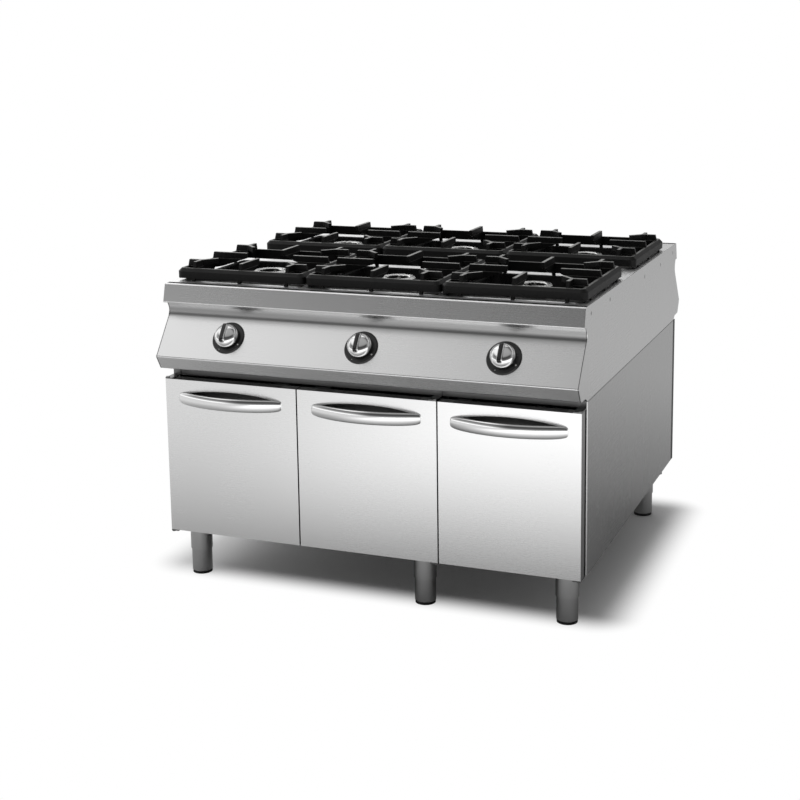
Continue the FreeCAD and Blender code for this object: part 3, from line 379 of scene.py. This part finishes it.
sensor_metal = Finish("probe_steel", PROBE_STEEL, 0.3, 1.0)
x, y, z = sensor_metal.xyz(sensor_metal.place())
blued = (z - POT_TOP_Z).soft_step(-0.015, 0.005)
sensor_metal.set("Base Color", sensor_metal.mix(blued, PROBE_STEEL, BLUED_STEEL))
sensor_metal.set("Roughness", 0.2 + sensor_metal.noise((400.0, 400.0, 60.0)) * 0.25)
paint(sensor_metal, "flame_sensors")

brass = Finish("turned_brass", (0.62, 0.45, 0.2), 0.3, 1.0)
tarnish = brass.noise((90.0, 90.0, 90.0), detail=8.0)
brass.set("Base Color", brass.mix(tarnish.soft_step(0.4, 0.7), NEW_BRASS, DULL_BRASS))
brass.set("Roughness", 0.2 + tarnish * 0.3)
brass.relief(brass.noise((900.0, 900.0, 900.0)), 0.00003)
paint(brass, "injectors", "gas_valves")

spindle_steel = Finish("turned_steel", (0.5, 0.5, 0.5), 0.25, 1.0)
spindle_steel.set("Roughness", 0.18 + spindle_steel.noise((900.0, 900.0, 900.0)) * 0.2)
paint(spindle_steel, *["valve_spindle_" + cell for cell in CELLS])


# ---- Gas pipes ----
# The manifold is zinc-coated steel pipe with faint crystal patches. The supply pipes are
# soft aluminium tube, bent by hand.

zinc = Finish("zinc_coated_pipe", (0.4, 0.41, 0.42), 0.4, 1.0)
spangle = zinc.node("ShaderNodeTexVoronoi", {}, {"Vector": zinc.place(), "Scale": 120.0})
facets = zinc.xyz(spangle.outputs["Color"])[0]
zinc.set("Base Color", zinc.mix(facets, (0.34, 0.35, 0.36), (0.48, 0.49, 0.5)))
zinc.set("Roughness", 0.3 + facets * 0.2)
paint(zinc, "gas_manifold")

soft_tube = Finish("soft_aluminium_tube", (0.6, 0.6, 0.61), 0.3, 1.0)
soft_tube.set("Roughness", 0.22 + soft_tube.noise((250.0, 250.0, 250.0), detail=6.0) * 0.25)
paint(soft_tube, "supply_pipes")


# ---- Pan supports ----
# Cast iron with a thin matt enamel. The casting skin is slightly rough. The tops of the
# fingers
# and rails are painted a paler grey: a painted highlight for the light from above, and wear
# from pans.

SUPPORT_TOP_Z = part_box("pan_support_front_left")[1].z
RAIL_TOP_Z = SUPPORT_TOP_Z - 0.018
TOP_SKIN = 0.0006
MATT_BLACK = (0.006, 0.006, 0.006)
MATT_BROWN = (0.013, 0.0128, 0.0125)
TOP_HIGHLIGHT_GREY = (0.3, 0.3, 0.29)

iron = Finish("cast_iron", (0.01, 0.01, 0.01), 0.42)
iron.set("Specular IOR Level", 0.2)
skin = iron.noise((420.0, 420.0, 420.0), detail=6.0, roughness=0.65)
patches = iron.noise((22.0, 22.0, 22.0), detail=5.0)
x, y, z = iron.xyz(iron.place())
tops = (z > SUPPORT_TOP_Z - TOP_SKIN) + (abs(z - RAIL_TOP_Z) < TOP_SKIN) * 0.6
# Painted highlight and wear: the tops of fingers and rails go paler and half metallic.
top_highlight_and_wear = tops * (0.6 + 0.4 * patches.soft_step(0.35, 0.6))
matt = iron.mix(patches, MATT_BLACK, MATT_BROWN)
iron.set("Base Color", iron.mix(top_highlight_and_wear, matt, TOP_HIGHLIGHT_GREY))
iron.set("Roughness", 0.34 + skin * 0.16 + patches * 0.1 - top_highlight_and_wear * 0.1)
iron.set("Metallic", top_highlight_and_wear * 0.5)
iron.relief(skin, 0.0004)
paint(iron, *["pan_support_" + cell for cell in CELLS])


# ---- Dial discs and their marks ----
# Moulded black plastic discs on the sloping panels. Three white diamonds of different sizes
# show the off position and the high and the low flame.

dial_plastic = Finish("black_dial_plastic", (0.012, 0.012, 0.012), 0.3)
pebble = dial_plastic.noise((1200.0, 1200.0, 1200.0), detail=2.0)
dial_plastic.set("Roughness", 0.22 + pebble * 0.16)
dial_plastic.relief(pebble, 0.00005)
paint(dial_plastic, "knob_bezels")

DIAL_Y = 0.59276
DIAL_Z = 0.71182
PANEL_TILT = math.radians(53.37)
DIAL_FACE = 0.00408
COLUMN_X = (-0.394, 0.0, 0.394)


def on_dials(across, up, above):
    """Points of a flat drawing put on all six dials.

    A point lies at the dial's centre, plus its width along X, plus its height along the
    slope, plus its distance off the face along the slope's normal. The rear dials are the
    front ones turned half a turn about Z.
    """
    slope = np.array([0.0, math.cos(PANEL_TILT), math.sin(PANEL_TILT)])
    normal = np.array([0.0, -math.sin(PANEL_TILT), math.cos(PANEL_TILT)])
    flat = np.outer(across, [1.0, 0.0, 0.0]) + np.outer(up, slope) + np.outer(above, normal)
    centres = np.array([[x, -DIAL_Y, DIAL_Z] for x in COLUMN_X])
    front = (flat[None] + centres[:, None]).reshape(-1, 3)
    return np.concatenate([front, front * np.array([-1.0, -1.0, 1.0])])


def surface(name, points, faces, finish, body, closed=False):
    """A piece from its points and faces, with its finish, riding on a body."""
    mesh = bpy.data.meshes.new(name)
    mesh.from_pydata(points.tolist(), [], faces)
    if closed:
        shell = bmesh.new()
        shell.from_mesh(mesh)
        bmesh.ops.recalc_face_normals(shell, faces=shell.faces)
        shell.to_mesh(mesh)
        shell.free()
        mesh.shade_smooth()
    mesh.materials.append(finish.material)
    made = bpy.data.objects.new(name, mesh)
    bpy.context.scene.collection.objects.link(made)
    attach(made, body)
    return made


# Each mark is a small diamond: its angle on the dial clockwise from the top, its distance
# from the axis, and its half width and half height.
MARKS = np.array([
    [118.0, 0.0400, 0.0030, 0.0030],
    [205.0, 0.0402, 0.0016, 0.0016],
    [290.0, 0.0402, 0.0022, 0.0026],
])
angle = np.radians(MARKS[:, 0])
corner = np.array([[0.0, 1.0], [1.0, 0.0], [0.0, -1.0], [-1.0, 0.0]])
across = (MARKS[:, 1] * np.sin(angle))[:, None] + MARKS[:, 2:3] * corner[:, 0]
up = (MARKS[:, 1] * np.cos(angle))[:, None] + MARKS[:, 3:4] * corner[:, 1]
marks = on_dials(across.ravel(), up.ravel(), np.full(across.size, DIAL_FACE))
PRINT_WHITE = (0.8, 0.8, 0.78)
WORN_PRINT = (0.3, 0.3, 0.3)
mark_paint = Finish("white_dial_print", PRINT_WHITE, 0.45)
wear = mark_paint.noise((900.0, 900.0, 900.0), detail=4.0)
worn = wear.soft_step(0.6, 0.75)
mark_paint.set("Base Color", mark_paint.mix(worn, PRINT_WHITE, WORN_PRINT))
quads = np.arange(len(marks)).reshape(-1, 4)[:, ::-1]
surface("dial_marks", marks, quads.tolist(), mark_paint, "frame")


# ---- Knobs ----
# Domed metal caps with a raised grip bar across the face, cast, polished and chromed. A
# black strip is let into the top of the bar.

KNOB_FOOT = 0.0082
KNOB_RADIUS = 0.034
KNOB_RISE = 0.0285
KNOB_SQUARENESS = 2.7
GRIP_FOOT = 0.018
GRIP_TOP = 0.0425
GRIP_HALF_LENGTH = 0.0275
GRIP_HALF_WIDTH = 0.0078
GRIP_SQUARENESS = 5.0
KNOB_CHROME = (0.82, 0.82, 0.82)
STRIP_BLACK = (0.012, 0.012, 0.012)
STRIP_HALF_WIDTH = 0.0055
STRIP_START = 0.0335
EDGE_SQUARENESS = 7.0
KNOB_TURNS = 72
KNOB_RINGS = 14


def power(value, squareness):
    """The signed power that makes an ellipse squarer: |v| to the 2 / squareness."""
    return np.sign(value) * np.abs(value) ** (2.0 / squareness)


def closed_rings(rings, first_pole, last_pole):
    """Points and faces of a closed surface: rings of points between two poles."""
    count, around = rings.shape[:2]
    points = np.concatenate([rings.reshape(-1, 3), [first_pole], [last_pole]])
    row, column = np.meshgrid(np.arange(count - 1), np.arange(around), indexing="ij")
    after = (column + 1) % around
    corners = [row * around + column, row * around + after]
    corners += [(row + 1) * around + after, (row + 1) * around + column]
    quads = np.stack(corners, axis=-1).reshape(-1, 4)
    ring = np.arange(around)
    after = (ring + 1) % around
    pole = np.full(around, count * around)
    last = (count - 1) * around
    first_cap = np.stack([pole, after, ring], axis=-1)
    last_cap = np.stack([pole + 1, last + ring, last + after], axis=-1)
    return points, quads.tolist() + first_cap.tolist() + last_cap.tolist()


def knob_cap():
    """A dome on a flat foot.

    The radius and the height follow a squared quarter ellipse: the radius is the sine and
    the height the cosine of one angle, each to the power 2 / squareness.
    """
    angle = np.linspace(0.0, math.pi / 2, KNOB_RINGS + 1)[1:]
    reach = KNOB_RADIUS * power(np.sin(angle), KNOB_SQUARENESS)
    height = KNOB_FOOT + KNOB_RISE * power(np.cos(angle), KNOB_SQUARENESS)
    turn = np.linspace(0.0, 2 * math.pi, KNOB_TURNS, endpoint=False)
    rings = np.stack([
        np.outer(reach, np.cos(turn)),
        np.outer(reach, np.sin(turn)),
        np.repeat(height[:, None], KNOB_TURNS, axis=1),
    ], axis=-1)
    return closed_rings(rings, [0, 0, KNOB_FOOT + KNOB_RISE], [0, 0, KNOB_FOOT])


def knob_grip():
    """A bar with a squared oval outline and a rounded top edge.

    The outline is a squared ellipse. From the foot to the top its size follows a steep
    squared quarter ellipse, so the sides stand nearly upright and the edge is rounded.
    """
    angle = np.linspace(0.0, math.pi / 2, KNOB_RINGS, endpoint=False)
    size = power(np.cos(angle), EDGE_SQUARENESS)
    height = GRIP_FOOT + (GRIP_TOP - GRIP_FOOT) * power(np.sin(angle), EDGE_SQUARENESS)
    height[0] = GRIP_FOOT
    turn = np.linspace(0.0, 2 * math.pi, KNOB_TURNS, endpoint=False)
    width = GRIP_HALF_WIDTH * power(np.cos(turn), GRIP_SQUARENESS)
    length = GRIP_HALF_LENGTH * power(np.sin(turn), GRIP_SQUARENESS)
    rings = np.stack([
        np.outer(size, width),
        np.outer(size, length),
        np.repeat(height[:, None], KNOB_TURNS, axis=1),
    ], axis=-1)
    return closed_rings(rings, [0, 0, GRIP_FOOT], [0, 0, GRIP_TOP])


knob_metal = Finish("polished_knob", (0.78, 0.78, 0.78), 0.07, 1.0)
x, y, z = knob_metal.xyz(knob_metal.place())
lift = (abs(y) - DIAL_Y) * math.sin(PANEL_TILT) + (z - DIAL_Z) * math.cos(PANEL_TILT)
across = knob_metal.math("WRAP", x, -CELL_PITCH / 2, CELL_PITCH / 2)
strip = (lift > STRIP_START) * (abs(across) < STRIP_HALF_WIDTH)
rubs = knob_metal.noise((120.0, 120.0, 120.0), detail=8.0)
knob_metal.set("Base Color", knob_metal.mix(strip, KNOB_CHROME, STRIP_BLACK))
knob_metal.set("Metallic", 1.0 - strip)
knob_metal.set("Roughness", 0.04 + rubs * 0.06 + strip * 0.15)

cap_points, cap_faces = knob_cap()
grip_points, grip_faces = knob_grip()
knob_points = np.concatenate([cap_points, grip_points])
knob_faces = cap_faces + [[len(cap_points) + i for i in face] for face in grip_faces]
placed = on_dials(*knob_points.T).reshape(6, -1, 3)
# The half turn puts the rear dials in order from right to left.
for points, cell in zip(placed, CELLS[:3] + CELLS[:2:-1]):
    knob = surface("chromed_knob_" + cell, points, knob_faces, knob_metal,
                   "knob_" + cell, closed=True)
    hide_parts("knob_" + cell)


# ---- Cabinet ----
# Stainless sheet: side panels brushed from front to rear, the rest along the range. The rails
# and ceiling get a near-black steel tone, painted shade for the dark gap above the doors. The
# bars behind it are black painted steel with a slight orange-peel texture.

# Painted shade: the side panels and partition get a darker tone than the doors, for the dimmer
# light their sides mirror.
shaded_cabinet_steel = BrushedSteel("brushed_cabinet_shaded", ALONG_Y, tone=0.52)
paint(shaded_cabinet_steel, "cabinet_side_panels", "cabinet_partition")

inner_steel = BrushedSteel("brushed_inside", ALONG_X, tone=0.6, roughness=0.32)
paint(inner_steel, "cabinet_base", "rear_panel")

# Painted shade: rails, ceiling and hinge brackets are steel darkened to near black.
shaded_rail_steel = BrushedSteel("shade_darkened_rails", ALONG_X, tone=0.17, roughness=0.34)
paint(shaded_rail_steel, "cabinet_rails", "cabinet_ceiling")

black_coat = Finish("black_powder_coat", (0.014, 0.014, 0.014), 0.45)
peel = black_coat.noise((320.0, 320.0, 320.0), detail=3.0)
coat_tone = black_coat.mix(peel, (0.01, 0.01, 0.01), (0.022, 0.022, 0.022))
black_coat.set("Base Color", coat_tone)
black_coat.set("Roughness", 0.35 + peel * 0.2)
black_coat.relief(peel, 0.0002)
paint(black_coat, "rear_spacer_bars", "door_catches")


# ---- Doors ----
# Each door is a skin and a liner of 1.2 mm stainless sheet, brushed along the range, on
# pins in steel brackets. An oval finger recess is pressed in behind its handle. The sheet
# behind the face is painted darker, and the recess darker still: painted shade in the gaps and
# the hollow.

SIDES = ("left", "middle", "right")
DOOR_FACE_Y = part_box("door_skin_left")[0].y
BEHIND_FACE = (0.0003, 0.003)
RECESS_REACH = 0.152

door_steel = BrushedSteel("brushed_doors", ALONG_X, tone=0.86)
x, y, z = door_steel.xyz(door_steel.place())
shade_behind_face = (y - DOOR_FACE_Y).soft_step(*BEHIND_FACE)
beside = 1.0
for side in SIDES:
    low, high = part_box("door_handle_" + side)
    beside = door_steel.math("MINIMUM", beside, abs(x - (low.x + high.x) / 2))
recess_shade = shade_behind_face * (beside < RECESS_REACH)
# Painted shade: darker behind the face, darkest in the finger recess.
door_steel.stain(shade_behind_face, (0.34, 0.34, 0.34), 0.34)
door_steel.stain(recess_shade, (0.13, 0.13, 0.13), 0.3)
paint(door_steel, *["door_skin_" + side for side in SIDES])
paint(inner_steel, *["door_liner_" + side for side in SIDES])
# The hinge brackets share the rails' painted shade.
paint(shaded_rail_steel, "hinge_brackets")


# ---- Door handles ----
# Bow handles, cast, polished and chromed, and screwed to the door from inside. The section
# is a flat oval, and the ends are rounded where they meet the door.

HANDLE_HALF_DEPTH = 0.0065
HANDLE_STEPS = 72
HANDLE_TURNS = 40
HANDLE_END_POWER = 6.0
HANDLE_TIP = 0.02

handle_metal = Finish("polished_handle", (0.8, 0.8, 0.8), 0.06, 1.0)
polish = handle_metal.noise((12.0, 160.0, 160.0), detail=5.0)
shine = handle_metal.mix(polish, (0.76, 0.76, 0.76), (0.84, 0.84, 0.84))
handle_metal.set("Base Color", shine)
handle_metal.set("Roughness", 0.05 + polish * 0.05)


def bow_handle(low, high):
    """A flat oval carried along a bow, in the box from low to high.

    One parameter t runs from end to end, closer at the ends by a sine. The oval's size is
    (1 - |t|^6)^(1/6) of the full one, and its middle stands off the door by 1 - t squared.
    """
    t = np.sin(np.linspace(-1.0, 1.0, HANDLE_STEPS) * math.pi / 2)
    size = (1.0 - np.abs(t) ** HANDLE_END_POWER) ** (1.0 / HANDLE_END_POWER)
    size = np.maximum(size, HANDLE_TIP)
    turn = np.linspace(0.0, 2 * math.pi, HANDLE_TURNS, endpoint=False)
    middle = (low + high) / 2
    half_width = (high.x - low.x) / 2
    half_height = (high.z - low.z) / 2
    tip_y = DOOR_FACE_Y - HANDLE_HALF_DEPTH * HANDLE_TIP
    bow = tip_y + (low.y + HANDLE_HALF_DEPTH - tip_y) * (1.0 - t * t)
    rings = np.stack([
        np.repeat((middle.x + half_width * t)[:, None], HANDLE_TURNS, axis=1),
        bow[:, None] - HANDLE_HALF_DEPTH * np.outer(size, np.cos(turn)),
        middle.z + half_height * np.outer(size, np.sin(turn)),
    ], axis=-1)
    ends = rings.mean(axis=1)
    return closed_rings(rings, ends[0], ends[-1])


for side in SIDES:
    points, faces = bow_handle(*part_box("door_handle_" + side))
    handle = surface("chromed_handle_" + side, points, faces, handle_metal,
                     "door_" + side, closed=True)
    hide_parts("door_handle_" + side)


# ---- Legs and feet ----
# Stainless tubes brushed lengthwise. The lower tube screws out of the sleeve and stands on
# a black rubber ring.

FOOT_RING_TOP = 0.0082

leg_steel = BrushedSteel("brushed_legs", UPRIGHT, tone=0.64, roughness=0.2)
paint(leg_steel, "leg_sleeves")

foot_steel = BrushedSteel("brushed_feet", UPRIGHT, tone=0.6, roughness=0.2)
x, y, z = foot_steel.xyz(foot_steel.place())
ring = z < FOOT_RING_TOP
foot_steel.stain(ring, (0.012, 0.012, 0.012), 0.75)
foot_steel.set("Metallic", 1.0 - ring)
paint(foot_steel, *["foot_" + cell for cell in CELLS])


# ---- Studio ----
# A pale floor that runs into a white surround, a broad soft lamp overhead and behind, and
# a darker band of studio wall in front for the polished surfaces to show. As the metal mirrors
# it, the floor is painted grey near the range and glows brighter further out: painted shade
# and light.

FLOOR_REACH = 40.0
floor_mesh = bpy.data.meshes.new("floor")
floor_corners = np.array([[-1, -1, 0], [1, -1, 0], [1, 1, 0], [-1, 1, 0]]) * FLOOR_REACH
floor_mesh.from_pydata(floor_corners.tolist(), [], [(0, 1, 2, 3)])
floor = bpy.data.objects.new("floor", floor_mesh)
bpy.context.scene.collection.objects.link(floor)

# Half the range's width and depth, the depth to its legs, and how far past these the floor
# turns white to the eye, and as the metal mirrors it.
PLAN_X = 0.6
PLAN_Y = 0.59
LEGS_Y = 0.45
SHADOW_EDGE = 0.14
MIRRORED_REACH = 1.9

# The floor's glow that the metal mirrors is painted brighter towards the right, and dimmer
# behind the range.
GLOW_X = (-1.3, -0.3)
GLOW_Y = (-0.4, 0.4)

floor_paint = Finish("floor_paint", (0.9, 0.9, 0.9), 0.8)
floor_paint.set("Specular IOR Level", 0.0)
x, y, z = floor_paint.xyz(floor_paint.place())
past_side = floor_paint.math("MAXIMUM", abs(x) - PLAN_X, 0.0)
past_front = floor_paint.math("MAXIMUM", abs(y) - PLAN_Y, 0.0)
out = floor_paint.math("SQRT", past_side * past_side + past_front * past_front)
past_legs = floor_paint.math("MAXIMUM", abs(y) - LEGS_Y, 0.0)
clear = floor_paint.math("SQRT", past_side * past_side + past_legs * past_legs)
path = floor_paint.node("ShaderNodeLightPath", {}, {})
seen = Signal(floor_paint, path.outputs["Is Camera Ray"])
mirrored = Signal(floor_paint, path.outputs["Is Glossy Ray"])
# Painted shade: to all but camera rays the floor is mid grey near the range.
floor_paint.set("Base Color", floor_paint.mix(seen, (0.5, 0.5, 0.5), (0.96, 0.96, 0.96)))
painted_glow_falloff = (1.06 + 0.9 * x.soft_step(*GLOW_X)) * (1.0 - 0.68 * y.soft_step(*GLOW_Y))
glow = floor_paint.node(
    "ShaderNodeEmission", {}, {"Color": (1, 1, 1, 1), "Strength": seen + mirrored * painted_glow_falloff}
)
white = seen * clear.soft_step(0.0, SHADOW_EDGE)
white = white + mirrored * 0.7 * out.soft_step(0.0, MIRRORED_REACH)
shaders = {0: white, 1: floor_paint.shader.outputs[0], 2: glow.outputs[0]}
blend = floor_paint.node("ShaderNodeMixShader", {}, shaders)
floor_output = floor_paint.tree.nodes["Material Output"]
floor_paint.link(floor_output.inputs["Surface"], blend.outputs[0])
floor_mesh.materials.append(floor_paint.material)

# How bright the wall in front is, from the horizon up.
WALL_STOPS = (
    (0.00, 1.25), (0.06, 1.0), (0.16, 0.29), (0.30, 0.24),
    (0.50, 0.12), (0.66, 0.85), (1.00, 1.1),
)
world = bpy.data.worlds.new("surround")
bpy.context.scene.world = world
world.use_nodes = True
surround = Shading(world.node_tree)
direction = surround.node("ShaderNodeTexCoord", {}, {}).outputs["Generated"]
east, north, height = surround.xyz(direction)
stops = [(place, (tone, tone, tone)) for place, tone in WALL_STOPS]
wall = surround.node("ShaderNodeValToRGB", {"stops": stops}, {"Fac": height})
front = (0.0 - north).soft_step(-0.1, 0.5)
shown = surround.mix(front, (0.94, 0.94, 0.94), wall.outputs[0])

# The surround is brighter to the left, and dim high up behind, where the lamp shines.
strength = 0.4 + 0.82 * (0.0 - east).soft_step(0.2, 0.55)
overhead = height.soft_step(0.5, 0.75) * north.soft_step(-0.2, 0.3)
strength = strength * (1.0 - 0.75 * overhead)
path = surround.node("ShaderNodeLightPath", {}, {})
is_camera = Signal(surround, path.outputs["Is Camera Ray"])
background = surround.tree.nodes["Background"]
surround.link(background.inputs["Color"], surround.mix(is_camera, shown, (1.0, 1.0, 1.0)))
surround.link(background.inputs["Strength"], is_camera + (1.0 - is_camera) * strength)

LAMP_PLACE = Vector((-1.5, 1.9, 4.4))
LAMP_TARGET = Vector((0.0, 0.0, 0.4))
LAMP_WIDTH = 6.0
LAMP_POWER = 92.0
lamp_data = bpy.data.lights.new("lamp_overhead", "AREA")
lamp_data.size = LAMP_WIDTH
lamp_data.energy = LAMP_POWER
lamp = bpy.data.objects.new("lamp_overhead", lamp_data)
lamp.rotation_euler = (LAMP_TARGET - LAMP_PLACE).to_track_quat("-Z", "Y").to_euler()
lamp.location = LAMP_PLACE
bpy.context.scene.collection.objects.link(lamp)


# ---- Camera ----
# It stands to the right in front of the range and a little above the worktop. A small
# shift keeps the range in the frame while its uprights stay nearly upright.

CAMERA_PLACE = (1.4937, -4.0481, 1.5430)
CAMERA_YAW = 21.784
CAMERA_PITCH = -9.825
CAMERA_ROLL = -0.815
SENSOR = 36.0
LENS = 65.79
UPWARD_SHIFT = -0.15
camera_data = bpy.data.cameras.new("camera")
camera_data.sensor_width = SENSOR
camera_data.lens = LENS
camera_data.shift_y = UPWARD_SHIFT
camera = bpy.data.objects.new("camera", camera_data)
bpy.context.scene.collection.objects.link(camera)
turn = (
    Matrix.Rotation(math.radians(CAMERA_YAW), 4, "Z")
    @ Matrix.Rotation(math.radians(90.0 + CAMERA_PITCH), 4, "X")
    @ Matrix.Rotation(math.radians(CAMERA_ROLL), 4, "Z")
)
camera.matrix_world = Matrix.Translation(CAMERA_PLACE) @ turn
bpy.context.scene.camera = camera
bpy.context.scene.view_settings.view_transform = "Standard"
